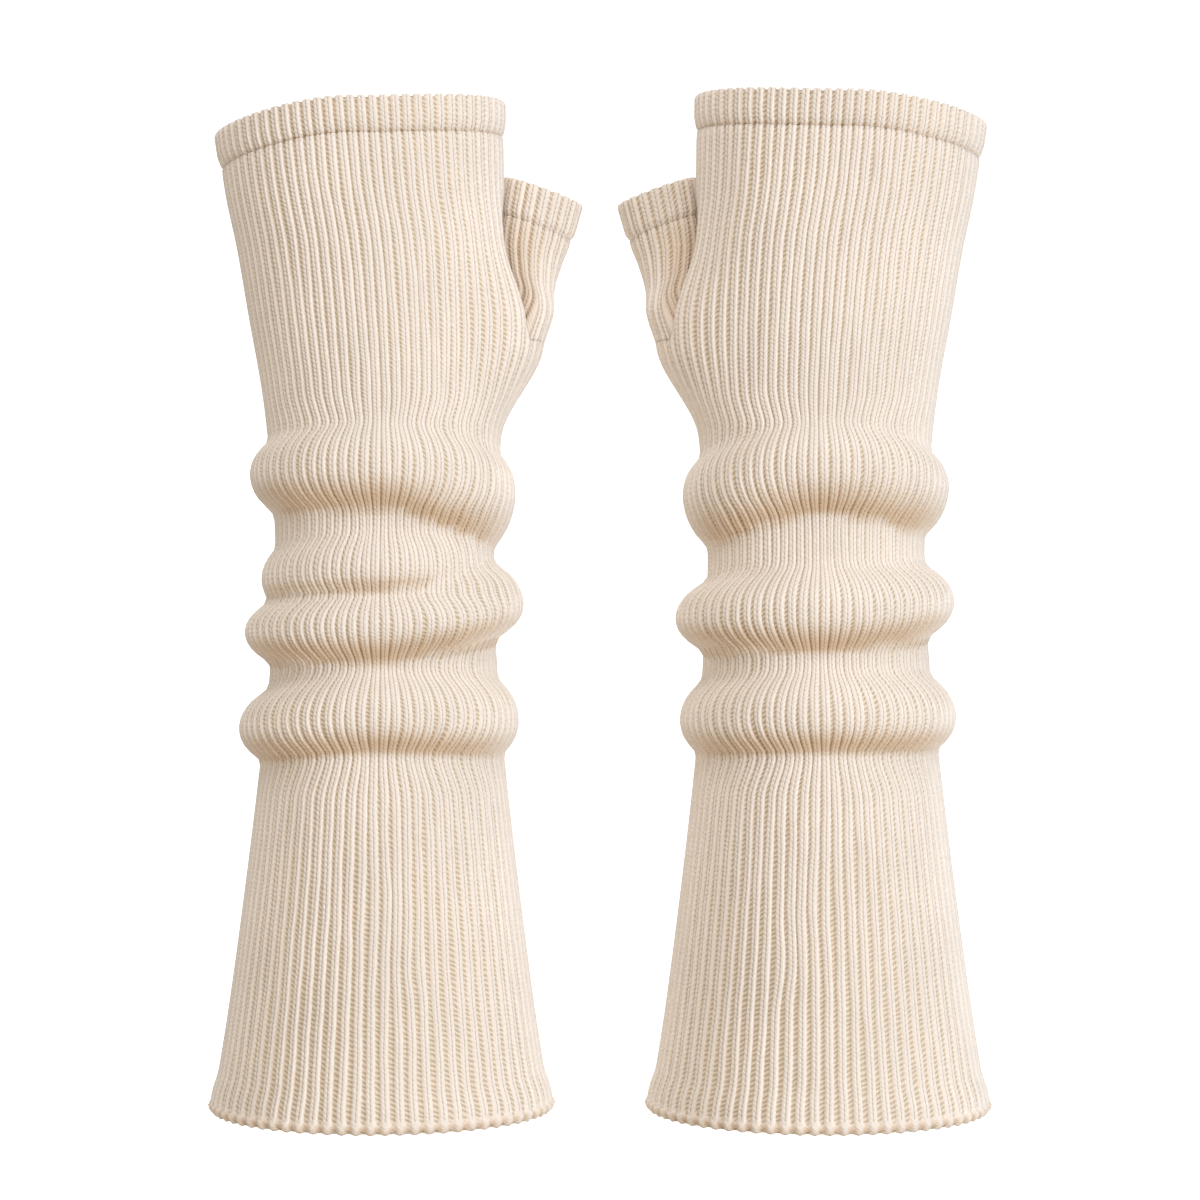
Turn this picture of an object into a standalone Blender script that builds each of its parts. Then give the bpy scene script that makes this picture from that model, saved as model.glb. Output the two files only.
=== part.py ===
"""A pair of long fingerless arm warmers in ribbed knit, worn loose and pushed down into folds at the wrist.

Each warmer is a hollow knitted wall in four pieces: the sleeve, from the forearm edge to the knuckles; the
thumb, which grows out of a hole in the sleeve; and a turned band on the finger end and on the thumb's tip.
The two mirror each other except in how their folds have settled.

Lengths are millimetres until a mesh is made. Inside this script x runs outward from the plane midway
between the warmers, y from the front (-) to the back (+) and z up, with 0 at the slouched wrist. A share
says how far round a section a point lies: 0 outer side, 0.25 front, 0.5 thumb side, 0.75 back.
"""

import math
from typing import NamedTuple

import bmesh
import bpy
from mathutils import Vector

MM = 0.001
SLOPE_STEP = 0.4
YARN_COLOUR = (0.83, 0.74, 0.63, 1)

# The knit. One rib is a raised pair of stitch columns and the sunken column beside it.
RIBS = 56
THUMB_RIBS = 20
POINTS_PER_RIB = 2
INNER_EVERY = 4
RIB_DEPTH = 0.8
SLOPE_SHARE = 0.25 / RIBS
WALL = 2.1
SEAM_GAP = 0.3

# The turned bands are two layers of the same knit, rolled in at the rim.
BAND_WALL = 2.9
BAND_PROUD = 0.9
BAND_FOOT = 0.3
BAND_ROLL = 1.3
HAND_BAND_HEIGHT = 11.5

# The forearm edge is cast on, and each rib ends in a bead below the grooves.
FOREARM_EDGE = -163.2
EDGE_BEAD = 0.9
EDGE_KICK = 3.0
HEM_FLARE = 15.0
MID_FOREARM = -98.0
MID_HAND = 0.45

# How full a fold is between its crest and its foot: lower is fuller.
FOLD_ROUNDNESS = 0.75

# The thumb hole takes these ribs out of the sleeve, between the thumb seam and the crotch above it.
HOLE_FIRST_RIB = 26
HOLE_LAST_RIB = 36
HOLE_START = HOLE_FIRST_RIB / RIBS
HOLE_END = HOLE_LAST_RIB / RIBS
HOLE_MARGIN = 0.025
THUMB_SEAM = 83.0
CROTCH = 86.5
CROTCH_RISE = 6.0
CROTCH_ROLL = 1.0
CROTCH_DENT = 4.5
PINCH_TOP = 136.0

# The gusset swells the sleeve towards the thumb below the hole.
GUSSET_SWELL = 12.0
GUSSET_SHARE = 0.54
GUSSET_SPREAD = 0.19
GUSSET_BOTTOM = 52.0
GUSSET_TOP = 116.0


class Quarters(NamedTuple):
    """A value at the four quarters of a section."""

    outer: float
    front: float
    thumb: float
    back: float

    def at(self, share):
        """The value at any share, eased from quarter to quarter."""
        place = share % 1.0 * 4
        quarter = int(place)
        return mix(self[quarter], self[(quarter + 1) % 4], smooth(place - quarter))


class Section(NamedTuple):
    """An ellipse across the sleeve: its height, how far out its centre is, and its half sizes."""

    height: float
    centre: float
    half_width: float
    half_depth: float


SLEEVE_SECTIONS = (
    Section(-163.0, 70.1, 55.4, 45.0),
    Section(-157.0, 70.1, 54.4, 44.5),
    Section(-150.0, 70.2, 52.2, 43.2),
    Section(-110.0, 70.1, 46.3, 39.0),
    Section(-54.0, 69.9, 39.5, 33.8),
    Section(-20.0, 69.5, 36.4, 31.0),
    Section(16.0, 69.5, 34.9, 29.0),
    Section(46.0, 69.3, 37.0, 29.5),
    Section(67.0, 69.5, 39.2, 30.1),
    Section(90.0, 70.8, 42.0, 30.7),
    Section(112.0, 72.7, 43.9, 31.0),
    Section(130.0, 75.5, 44.9, 30.8),
    Section(160.0, 78.0, 46.9, 30.5),
)


class Fold(NamedTuple):
    """A soft roll round the sleeve: its crest's height, how far it swells, and its reach up and down."""

    crest: Quarters
    swell: Quarters
    up: Quarters
    down: Quarters


LEFT_FOLDS = (
    Fold(
        crest=Quarters(-40.0, -35.5, -37.4, -39.0),
        swell=Quarters(8.2, 6.2, 5.8, 6.2),
        up=Quarters(11.0, 12.5, 11.5, 12.0),
        down=Quarters(11.0, 11.0, 11.5, 11.0),
    ),
    Fold(
        crest=Quarters(-9.8, -7.6, -1.0, -5.0),
        swell=Quarters(9.0, 6.6, 9.8, 7.0),
        up=Quarters(9.5, 9.0, 12.5, 10.5),
        down=Quarters(10.0, 11.0, 11.0, 11.0),
    ),
    Fold(
        crest=Quarters(6.8, 9.6, 12.0, 11.0),
        swell=Quarters(4.4, 4.8, 0.6, 3.4),
        up=Quarters(9.0, 10.5, 9.0, 9.0),
        down=Quarters(8.0, 8.0, 7.0, 8.0),
    ),
    Fold(
        crest=Quarters(39.2, 41.6, 32.2, 36.0),
        swell=Quarters(6.8, 6.6, 6.4, 6.4),
        up=Quarters(11.0, 13.5, 14.5, 13.5),
        down=Quarters(11.0, 12.5, 15.0, 12.5),
    ),
)
RIGHT_FOLDS = (
    Fold(
        crest=Quarters(-36.2, -35.5, -37.6, -40.0),
        swell=Quarters(7.0, 6.2, 6.2, 6.4),
        up=Quarters(11.5, 12.5, 11.0, 12.5),
        down=Quarters(11.0, 11.0, 11.0, 11.0),
    ),
    Fold(
        crest=Quarters(0.0, -3.0, -5.6, -8.0),
        swell=Quarters(9.2, 7.0, 9.8, 6.8),
        up=Quarters(11.0, 13.0, 11.5, 12.0),
        down=Quarters(11.5, 12.5, 10.5, 12.0),
    ),
    Fold(
        crest=Quarters(35.0, 41.2, 32.0, 37.0),
        swell=Quarters(6.8, 6.6, 7.0, 6.2),
        up=Quarters(12.0, 14.0, 13.5, 13.0),
        down=Quarters(14.0, 13.5, 14.5, 13.0),
    ),
)


class Warmer(NamedTuple):
    """What differs between the two: which side it is on, its finger end's height, and its folds."""

    name: str
    side: int
    finger_end: Quarters
    folds: tuple


WARMERS = (
    Warmer("left", -1, Quarters(149.5, 157.2, 160.5, 156.0), LEFT_FOLDS),
    Warmer("right", 1, Quarters(153.0, 159.2, 162.5, 157.0), RIGHT_FOLDS),
)


class ThumbRing(NamedTuple):
    """A section of the thumb: its centre, half sizes, lean towards the other warmer, and how oval it is."""

    height: float
    centre: float
    back: float
    half_width: float
    half_depth: float
    lean: float
    oval: float


THUMB_RINGS = (
    ThumbRing(97.0, 26.6, 12.0, 9.8, 14.5, 0.40, 0.45),
    ThumbRing(105.5, 25.6, 14.2, 10.6, 13.2, 0.38, 0.85),
    ThumbRing(114.0, 24.0, 15.6, 11.6, 12.0, 0.36, 1.0),
    ThumbRing(122.0, 21.8, 16.2, 12.5, 11.2, 0.34, 1.0),
)
THUMB_TIP = ThumbRing(134.2, 18.9, 16.4, 13.2, 11.2, 0.33, 1.0)
THUMB_START_ANGLE = math.radians(-117)


def smooth(t):
    """0 to 1 with a level start and end."""
    t = min(1.0, max(0.0, t))
    return t * t * (3 - 2 * t)


def mix(a, b, t):
    return a + (b - a) * t


def sleeve_section(height):
    """The sleeve's plain ellipse at a height: a smooth curve through the table's sections."""
    rows = SLEEVE_SECTIONS
    k = 1
    while k < len(rows) - 1 and height > rows[k].height:
        k += 1
    low, high = rows[k - 1], rows[k]
    before, after = rows[max(k - 2, 0)], rows[min(k + 1, len(rows) - 1)]
    span = high.height - low.height
    t = (height - low.height) / span
    values = []
    for column in ("centre", "half_width", "half_depth"):
        first, second = getattr(low, column), getattr(high, column)
        slope_low = (second - getattr(before, column)) / (high.height - before.height) * span
        slope_high = (getattr(after, column) - first) / (after.height - low.height) * span
        values.append(
            first * (2 * t**3 - 3 * t**2 + 1)
            + slope_low * (t**3 - 2 * t**2 + t)
            + second * (3 * t**2 - 2 * t**3)
            + slope_high * (t**3 - t**2)
        )
    return Section(height, *values)


def ellipse_angle(share, section):
    """The angle at a share, so that equal shares are equal lengths round the ellipse."""
    wide, deep = section.half_width**2, section.half_depth**2
    turn = 2 * math.pi * share
    return turn + (wide - deep) / (wide + deep) / 4 * math.sin(2 * turn)


def fold_swell(folds, share, height):
    """How far the folds push the wall out at a share and height."""
    total = 0.0
    for fold in folds:
        above = height - fold.crest.at(share)
        reach = fold.up.at(share) if above > 0 else fold.down.at(share)
        if abs(above) < reach:
            total += fold.swell.at(share) * (1 - (above / reach) ** 2) ** FOLD_ROUNDNESS
    return total


def gusset_swell(share, height):
    """How far the gusset pushes the wall out towards the thumb."""
    aside = abs(share % 1.0 - GUSSET_SHARE) / GUSSET_SPREAD
    if aside >= 1:
        return 0.0
    rise = smooth((height - GUSSET_BOTTOM) / (THUMB_SEAM - GUSSET_BOTTOM))
    fall = smooth((GUSSET_TOP - height) / (GUSSET_TOP - CROTCH))
    return GUSSET_SWELL * math.cos(math.pi / 2 * aside) ** 2 * min(rise, fall)


def open_wall(folds, share, height):
    """A point of the sleeve's ridge surface, before the thumb hole pinches it."""
    section = sleeve_section(height)
    angle = ellipse_angle(share, section)
    across, deep = math.cos(angle), -math.sin(angle)
    normal = Vector((across * section.half_depth, deep * section.half_width, 0)).normalized()
    rim = Vector((section.centre + section.half_width * across, section.half_depth * deep, height))
    return rim + normal * (fold_swell(folds, share, height) + gusset_swell(share, height))


def across_hole(share):
    """0 at the front end of the thumb hole to 1 at its back end."""
    return min(1.0, max(0.0, (share % 1.0 - HOLE_START) / (HOLE_END - HOLE_START)))


def crotch_height(share):
    """The height of the crotch, which is the hand side of the thumb hole."""
    return CROTCH + CROTCH_RISE * math.sin(math.pi * across_hole(share))


def sleeve_wall(folds, share, height):
    """A point of the sleeve's ridge surface. Beside the thumb it is drawn in from the crotch up."""
    point = open_wall(folds, share, height)
    across = across_hole(share)
    if height < CROTCH or not 0 < across < 1:
        return point
    chord = mix(open_wall(folds, HOLE_START, height), open_wall(folds, HOLE_END, height), across)
    chord.x += CROTCH_DENT * math.sin(math.pi * across)
    above = (height - CROTCH - CROTCH_RISE) / (PINCH_TOP - CROTCH - CROTCH_RISE)
    return mix(chord, point, smooth(above))


def sleeve_normal(folds, share, height):
    """The wall's outward direction, from its slope each way."""
    over = sleeve_wall(folds, share + SLOPE_SHARE, height) - sleeve_wall(folds, share - SLOPE_SHARE, height)
    up = sleeve_wall(folds, share, height + SLOPE_STEP) - sleeve_wall(folds, share, height - SLOPE_STEP)
    return up.cross(over).normalized()


def row_heights(warmer, share):
    """Heights of the sleeve's rows at a share, from the forearm edge to the finger band."""
    folds = warmer.folds
    marks = [folds[0].crest.at(share) - folds[0].down.at(share)]
    for low, high in zip(folds, folds[1:]):
        marks += [low.crest.at(share), (low.crest.at(share) + high.crest.at(share)) / 2]
    marks += [folds[-1].crest.at(share), folds[-1].crest.at(share) + folds[-1].up.at(share)]
    heights = [FOREARM_EDGE, FOREARM_EDGE + EDGE_KICK, FOREARM_EDGE + HEM_FLARE, MID_FOREARM]
    for low, high in zip(marks, marks[1:]):
        heights += [low, (low + high) / 2]
    heights += [marks[-1], mix(marks[-1], THUMB_SEAM, 0.5), THUMB_SEAM, crotch_height(share)]
    top = warmer.finger_end.at(share) - HAND_BAND_HEIGHT - SEAM_GAP
    return heights + [mix(CROTCH, top, MID_HAND), top]


def shares(count):
    return [k / count for k in range(count)]


def is_groove(k):
    return k % POINTS_PER_RIB > 0


def sleeve_rows(warmer):
    """The sleeve's outer rows, with ribs, and its plain inner rows."""
    folds = warmer.folds
    columns_outer, columns_inner = [], []
    for k, share in enumerate(shares(RIBS * POINTS_PER_RIB)):
        outer, inner = [], []
        for row, height in enumerate(row_heights(warmer, share)):
            ridge = sleeve_wall(folds, share, height)
            normal = sleeve_normal(folds, share, height)
            sunk = RIB_DEPTH if is_groove(k) else 0.0
            if row == 0:
                ridge.z += EDGE_BEAD if is_groove(k) else 0.0
                sunk += EDGE_BEAD
            outer.append(ridge - normal * sunk)
            inner.append(sleeve_wall(folds, share, height) - normal * WALL)
        columns_outer.append(outer)
        if k % INNER_EVERY == 0:
            columns_inner.append(inner)
    return list(zip(*columns_outer)), list(zip(*columns_inner))


def finger_band_rows(warmer):
    """The finger band's outer rows, rolled in at the rim, and its plain inner rows."""
    folds = warmer.folds
    outer, inner = [], []
    for down, proud in ((HAND_BAND_HEIGHT, BAND_FOOT), (BAND_ROLL, BAND_PROUD), (0.0, -BAND_ROLL)):
        row = []
        for k, share in enumerate(shares(RIBS * POINTS_PER_RIB)):
            height = warmer.finger_end.at(share) - down
            sunk = RIB_DEPTH if is_groove(k) else 0.0
            row.append(
                sleeve_wall(folds, share, height) + sleeve_normal(folds, share, height) * (proud - sunk)
            )
        outer.append(row)
    for down in (HAND_BAND_HEIGHT, BAND_ROLL):
        row = []
        for share in shares(RIBS * POINTS_PER_RIB // INNER_EVERY):
            height = warmer.finger_end.at(share) - down
            normal = sleeve_normal(folds, share, height)
            row.append(sleeve_wall(folds, share, height) - normal * (BAND_WALL - BAND_PROUD))
        inner.append(row)
    return outer, inner


def thumb_foot(folds):
    """The thumb's lowest ring as points and directions: out along the gusset, back by the crotch."""
    count = THUMB_RIBS * POINTS_PER_RIB
    half = count // 2
    points, normals = [], []
    for k in range(count):
        along = k / half if k < half else 2 - k / half
        share = mix(HOLE_START, HOLE_END, mix(HOLE_MARGIN, 1 - HOLE_MARGIN, along))
        if k < half:
            normals.append(sleeve_normal(folds, share, THUMB_SEAM))
            points.append(sleeve_wall(folds, share, THUMB_SEAM) + Vector((0, 0, SEAM_GAP)))
        else:
            height = crotch_height(share)
            to_thumb = sleeve_normal(folds, share, height + CROTCH_ROLL)
            normals.append(-to_thumb)
            points.append(sleeve_wall(folds, share, height) + to_thumb * SEAM_GAP)
    softened = [
        (normals[k - 1] + 2 * normals[k] + normals[(k + 1) % count]).normalized() for k in range(count)
    ]
    return points, softened


def thumb_ring(folds, ring, height):
    """The thumb's ridge points and outward directions round one section, raised to a height."""
    foot, foot_normals = thumb_foot(folds)
    foot_centre = sum(foot, Vector()) / len(foot)
    centre = Vector((ring.centre, ring.back, height))
    points, normals = [], []
    for k, share in enumerate(shares(len(foot))):
        angle = THUMB_START_ANGLE - 2 * math.pi * share
        across, deep = math.cos(angle), math.sin(angle)
        offset = Vector((ring.half_width * across, ring.half_depth * deep, 0))
        offset.z = offset.x * ring.lean
        normal = Vector((across * ring.half_depth, deep * ring.half_width, 0)).normalized()
        points.append(centre + mix(foot[k] - foot_centre, offset, ring.oval))
        normals.append(mix(foot_normals[k], normal, ring.oval).normalized())
    return points, normals


def ribbed(points, normals, proud):
    """Ridge points moved out, with the ones between ribs sunk."""
    return [
        point + normal * (proud - (RIB_DEPTH if is_groove(k) else 0.0))
        for k, (point, normal) in enumerate(zip(points, normals))
    ]


def lining(points, normals, depth):
    """The plain inner ring behind a ridge ring."""
    return [point - normal * depth for point, normal in zip(points, normals)][::INNER_EVERY]


def thumb_rows(folds):
    outer, inner = [], []
    rings = [thumb_foot(folds)]
    rings += [thumb_ring(folds, ring, ring.height) for ring in THUMB_RINGS]
    for points, normals in rings:
        outer.append(ribbed(points, normals, 0.0))
        inner.append(lining(points, normals, WALL))
    return outer, inner


def thumb_band_rows(folds):
    """The thumb band's rows, from the thumb's last ring to its tip."""
    foot = thumb_ring(folds, THUMB_RINGS[-1], THUMB_RINGS[-1].height + SEAM_GAP)
    shoulder = thumb_ring(folds, THUMB_TIP, THUMB_TIP.height - BAND_ROLL)
    rim = thumb_ring(folds, THUMB_TIP, THUMB_TIP.height)
    outer = [ribbed(*foot, BAND_FOOT), ribbed(*shoulder, BAND_PROUD), ribbed(*rim, -BAND_ROLL)]
    inner = [lining(*foot, BAND_WALL - BAND_PROUD), lining(*shoulder, BAND_WALL - BAND_PROUD)]
    return outer, inner


def close_rim(bm, outer, inner):
    """Closes the rim between a fine outer chain and a coarse inner one. A ring's chains repeat its start."""
    half = INNER_EVERY // 2
    for j, (low, high) in enumerate(zip(inner, inner[1:])):
        fine = outer[INNER_EVERY * j : INNER_EVERY * (j + 1) + 1]
        for k in range(INNER_EVERY):
            bm.faces.new((fine[k], fine[k + 1], low if k < half else high))
        bm.faces.new((low, fine[half], high))


def cloth_wall(name, outer, inner, material, side, hole_row=None):
    """A closed wall between outer and inner rows, with the thumb hole above hole_row if it has one."""
    bm = bmesh.new()
    fine = [[bm.verts.new((side * p.x * MM, p.y * MM, p.z * MM)) for p in row] for row in outer]
    coarse = [[bm.verts.new((side * p.x * MM, p.y * MM, p.z * MM)) for p in row] for row in inner]
    for rows, per_rib in ((fine, POINTS_PER_RIB), (coarse, POINTS_PER_RIB / INNER_EVERY)):
        hole = range(int(HOLE_FIRST_RIB * per_rib), int(HOLE_LAST_RIB * per_rib))
        for r, (low, high) in enumerate(zip(rows, rows[1:])):
            for k in range(len(low)):
                if r != hole_row or k not in hole:
                    bm.faces.new((low[k], low[(k + 1) % len(low)], high[(k + 1) % len(low)], high[k]))
    for end in (0, -1):
        close_rim(bm, fine[end] + fine[end][:1], coarse[end] + coarse[end][:1])
    if hole_row is not None:
        first, last = HOLE_FIRST_RIB * POINTS_PER_RIB, HOLE_LAST_RIB * POINTS_PER_RIB
        for r in (hole_row, hole_row + 1):
            inner_chain = coarse[r][first // INNER_EVERY : last // INNER_EVERY + 1]
            close_rim(bm, fine[r][first : last + 1], inner_chain)
        for k in (first, last):
            j = k // INNER_EVERY
            bm.faces.new(
                (fine[hole_row][k], fine[hole_row + 1][k], coarse[hole_row + 1][j], coarse[hole_row][j])
            )
    bmesh.ops.recalc_face_normals(bm, faces=bm.faces)
    mesh = bpy.data.meshes.new(name)
    bm.to_mesh(mesh)
    bm.free()
    mesh.shade_smooth()
    mesh.materials.append(material)
    obj = bpy.data.objects.new(name, mesh)
    bpy.context.scene.collection.objects.link(obj)
    return obj


def knit_material(name):
    """Cream yarn: matt and a little warm."""
    material = bpy.data.materials.new(name)
    material.use_nodes = True
    shader = material.node_tree.nodes["Principled BSDF"]
    shader.inputs["Base Color"].default_value = YARN_COLOUR
    shader.inputs["Roughness"].default_value = 0.95
    shader.inputs["Metallic"].default_value = 0.0
    return material


def make_warmer(warmer):
    outer, inner = sleeve_rows(warmer)
    hole_row = row_heights(warmer, 0.0).index(THUMB_SEAM)
    pieces = {
        "sleeve": (outer, inner, hole_row),
        "finger_band": (*finger_band_rows(warmer), None),
        "thumb": (*thumb_rows(warmer.folds), None),
        "thumb_band": (*thumb_band_rows(warmer.folds), None),
    }
    for piece, (outer, inner, hole_row) in pieces.items():
        name = f"{warmer.name}_{piece}"
        cloth_wall(name, outer, inner, knit_material(f"{name}_cream_knit"), warmer.side, hole_row)


def main():
    for obj in list(bpy.data.objects):
        bpy.data.objects.remove(obj)
    for warmer in WARMERS:
        make_warmer(warmer)


main()
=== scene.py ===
"""A pair of long fingerless arm warmers in cream rib knit, stood up side by side in a white studio.

Each warmer is four pieces of cloth: the sleeve with its thumb hole, the turned band at the finger end, the
thumb, and the turned band at its tip. Every piece is one closed wall with its ribs in relief, and carries a
UV map that counts ribs across and courses along, which the knit material reads.

Lengths are millimetres until a mesh is made. x runs outward from the plane midway between the warmers, y from
the front (-) to the back (+) and z up, with 0 at the slouched wrist. A share says how far round a section a
point lies: 0 outer side, 0.25 front, 0.5 thumb side, 0.75 back.
"""

import math

import bmesh
import bpy
import numpy as np
from bpy.props import FloatProperty, FloatVectorProperty, PointerProperty
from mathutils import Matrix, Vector


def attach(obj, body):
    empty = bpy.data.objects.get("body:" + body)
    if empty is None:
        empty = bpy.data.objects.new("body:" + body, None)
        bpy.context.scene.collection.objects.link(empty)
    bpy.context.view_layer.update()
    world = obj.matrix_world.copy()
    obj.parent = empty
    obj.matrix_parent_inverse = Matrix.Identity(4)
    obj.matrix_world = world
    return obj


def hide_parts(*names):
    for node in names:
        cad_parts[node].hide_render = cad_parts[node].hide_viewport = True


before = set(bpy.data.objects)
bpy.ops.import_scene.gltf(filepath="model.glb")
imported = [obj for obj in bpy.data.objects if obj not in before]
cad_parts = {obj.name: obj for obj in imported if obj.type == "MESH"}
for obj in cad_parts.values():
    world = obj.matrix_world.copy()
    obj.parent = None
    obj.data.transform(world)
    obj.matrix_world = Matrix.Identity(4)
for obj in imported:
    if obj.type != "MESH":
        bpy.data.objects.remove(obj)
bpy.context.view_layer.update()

bl_info = {
    "name": "Rib Knit Arm Warmers",
    "version": (1, 0, 0),
    "blender": (4, 5, 0),
    "location": "3D View > Sidebar > Arm Warmers",
    "description": "Builds a pair of slouched rib knit arm warmers and their studio",
    "category": "Add Mesh",
}

MM = 0.001

# One rib is a raised pair of stitch columns, the wales, and the sunken column beside them.
RIBS = 68
THUMB_RIBS = 20
WALL = 2.1
BAND_WALL = 2.9
BAND_PROUD = 0.75
THUMB_BAND_PROUD = 0.4
BAND_ROLL = 1.3
HAND_BAND_HEIGHT = 11.5
SEAM_GAP = 0.3

# The ribs' depth on the other pieces, as a part of the sleeve's, and how deep a groove notches each rim.
BAND_RIB = 1.1
THUMB_RIB = 0.85
THUMB_BAND_RIB = 0.8
BAND_NOTCH = 0.75
THUMB_BAND_NOTCH = 0.4

# The cloth sinks a little where a band's foot grips it.
SLEEVE_GRIP = 0.2
THUMB_GRIP = 0.3

# The forearm edge is cast on, and each rib ends there in a bead.
FOREARM_EDGE = -163.2
EDGE_BEAD = 1.5
EDGE_KICK = 3.2
EDGE_ROLL = 0.5
HEM_FLARE = 15.0

# A row is fixed half way down the forearm, and this far up the hand from the crotch.
MID_FOREARM = -98.0
MID_HAND = 0.45

# How full a fold is between its crest and its foot, and how softly its foot runs out.
FOLD_ROUNDNESS = 0.75
FOOT_SOFTNESS = 1.6

# Ribs crowd to the front and back over these heights, and not where a fold swells this far.
GATHER_BOTTOM = -62.0
GATHER_TOP = 66.0
OPEN_SWELL = 6.5

# The thumb hole, from its front end to its back end, and how far inside its ends the thumb is set.
HOLE_START = 13 / 28
HOLE_END = 9 / 14
HOLE_MARGIN = 0.025
THUMB_SEAM = 83.0
CROTCH = 86.5
CROTCH_RISE = 6.0
CROTCH_ROLL = 1.0
CROTCH_DENT = 4.5
PINCH_TOP = 136.0

# The gusset swells the sleeve towards the thumb below the hole.
GUSSET_SWELL = 12.0
GUSSET_SHARE = 0.54
GUSSET_SPREAD = 0.19
GUSSET_BOTTOM = 52.0
GUSSET_TOP = 116.0

# Sections of the sleeve: height, how far out the centre is, half width, half depth.
SLEEVE_SECTIONS = np.array(
    (
        (-163.0, 70.1, 55.4, 45.0),
        (-157.0, 70.1, 54.4, 44.5),
        (-150.0, 70.2, 52.2, 43.2),
        (-110.0, 70.1, 46.3, 39.0),
        (-54.0, 69.9, 39.5, 33.8),
        (-20.0, 69.5, 36.4, 31.0),
        (16.0, 69.5, 34.9, 29.0),
        (46.0, 69.3, 37.0, 29.5),
        (67.0, 69.5, 39.2, 30.1),
        (90.0, 70.8, 42.0, 30.7),
        (112.0, 72.7, 43.9, 31.0),
        (130.0, 75.5, 44.9, 30.8),
        (160.0, 78.0, 46.9, 30.5),
    )
)

# Folds round the wrist: the crest's height, the swell, and the reach up and down, each at the outer side,
# the front, the thumb side and the back.
LEFT_FOLDS = (
    ((-40.0, -35.5, -37.4, -39.0), (8.2, 6.2, 5.8, 6.2), (11.0, 12.5, 11.5, 12.0), (11.0, 11.0, 11.5, 11.0)),
    ((-9.8, -7.6, -1.0, -5.0), (9.0, 6.6, 9.8, 7.0), (9.5, 9.0, 12.5, 10.5), (10.0, 11.0, 11.0, 11.0)),
    ((6.8, 9.6, 12.0, 11.0), (4.4, 4.8, 0.6, 3.4), (9.0, 10.5, 9.0, 9.0), (8.0, 8.0, 7.0, 8.0)),
    ((39.2, 41.6, 32.2, 36.0), (6.8, 6.6, 6.4, 6.4), (11.0, 13.5, 14.5, 13.5), (11.0, 12.5, 15.0, 12.5)),
)
RIGHT_FOLDS = (
    ((-36.2, -35.5, -37.6, -40.0), (7.0, 6.2, 6.2, 6.4), (11.5, 12.5, 11.0, 12.5), (11.0, 11.0, 11.0, 11.0)),
    ((0.0, -3.0, -5.6, -8.0), (9.2, 7.0, 9.8, 6.8), (11.0, 13.0, 11.5, 12.0), (11.5, 12.5, 10.5, 12.0)),
    ((35.0, 41.2, 32.0, 37.0), (6.8, 6.6, 7.0, 6.2), (12.0, 14.0, 13.5, 13.0), (14.0, 13.5, 14.5, 13.0)),
)

# The two warmers: name, side, the finger end's height at the four quarters, folds, seed of their unevenness.
WARMERS = (
    ("left", -1, (149.5, 157.2, 160.5, 156.0), LEFT_FOLDS, 3),
    ("right", 1, (153.0, 159.2, 162.5, 157.0), RIGHT_FOLDS, 8),
)

# Sections of the thumb: height, centre, how far back, half width, half depth, lean, how oval it is by then,
# and the angle in degrees at which its first rib stands.
THUMB_SECTIONS = (
    (97.0, 26.6, 12.0, 9.8, 14.5, 0.40, 0.45, -124.0),
    (105.5, 25.6, 14.2, 10.6, 13.2, 0.38, 0.85, -112.0),
    (114.0, 24.0, 15.6, 11.6, 12.0, 0.36, 1.0, -104.0),
    (122.0, 21.8, 16.2, 12.5, 11.2, 0.34, 1.0, -99.0),
    (134.2, 18.9, 16.4, 13.2, 11.2, 0.33, 1.0, -97.0),
)

# The thumb's band starts at this section. Where its ribs wander, a section counts as so many millimetres, and
# the wanderings are drawn from a seed this far past the sleeve's.
THUMB_BAND_SECTION = 3
THUMB_SECTION_RISE = 12
THUMB_SEED_STEP = 20

# A rib's points, from the side of a groove over both wales. In the middle of its range a rib has them at
# RIB_PHASES. A tight rib closes its groove and a stretched one opens it. RIB_SINK is the part of the ribs'
# depth that each point sinks.
RIB_PHASES = np.array((0.11, 0.21, 0.33, 0.5, 0.67, 0.79, 0.89))
TIGHT_PHASES = np.array((0.05, 0.14, 0.29, 0.5, 0.71, 0.86, 0.95))
OPEN_PHASES = np.array((0.16, 0.25, 0.36, 0.5, 0.64, 0.75, 0.84))
RIB_SINK = np.array((1.0, 0.28, 0.0, 0.38, 0.0, 0.28, 1.0))
RIB_POINTS = len(RIB_PHASES)
TIGHT_RIB = 2.8
OPEN_RIB = 4.3
TIGHT_DEPTH = 0.65
HOLE_RIB = 3.55

# The upper side of a fold is stretched, which takes this much of its ribs' depth.
STRETCHED_FLAT = 0.7

# How much painted shade the cloth gets, from 0 in the open to 1 deep under a fold: the plain inner walls, the
# finger band's foot, and the thumb where it stands beside the hand.
INSIDE_PAINTED_SHADE = 0.5
FOOT_PAINTED_SHADE = 0.2
THUMB_PAINTED_SHADE = 0.45

# Ribs wander less near the sleeve's two ends.
EDGE_CALM = 12.0

# Places where a few ribs crowd aside: share, height, width in ribs, height of the place, and by how much.
CROWDED = (
    (0.155, 112.0, 2.4, 12.0, 0.12),
    (0.262, -92.0, 2.0, 14.0, 0.2),
    (0.300, -112.0, 1.4, 10.0, -0.3),
    (0.215, 20.0, 2.2, 8.0, 0.15),
    (0.690, 70.0, 2.4, 12.0, 0.15),
    (0.830, -105.0, 2.2, 14.0, -0.2),
)

# Where a piece has no cast-on edge, its courses are counted from here.
PLAIN_COURSES = 20.0

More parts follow.
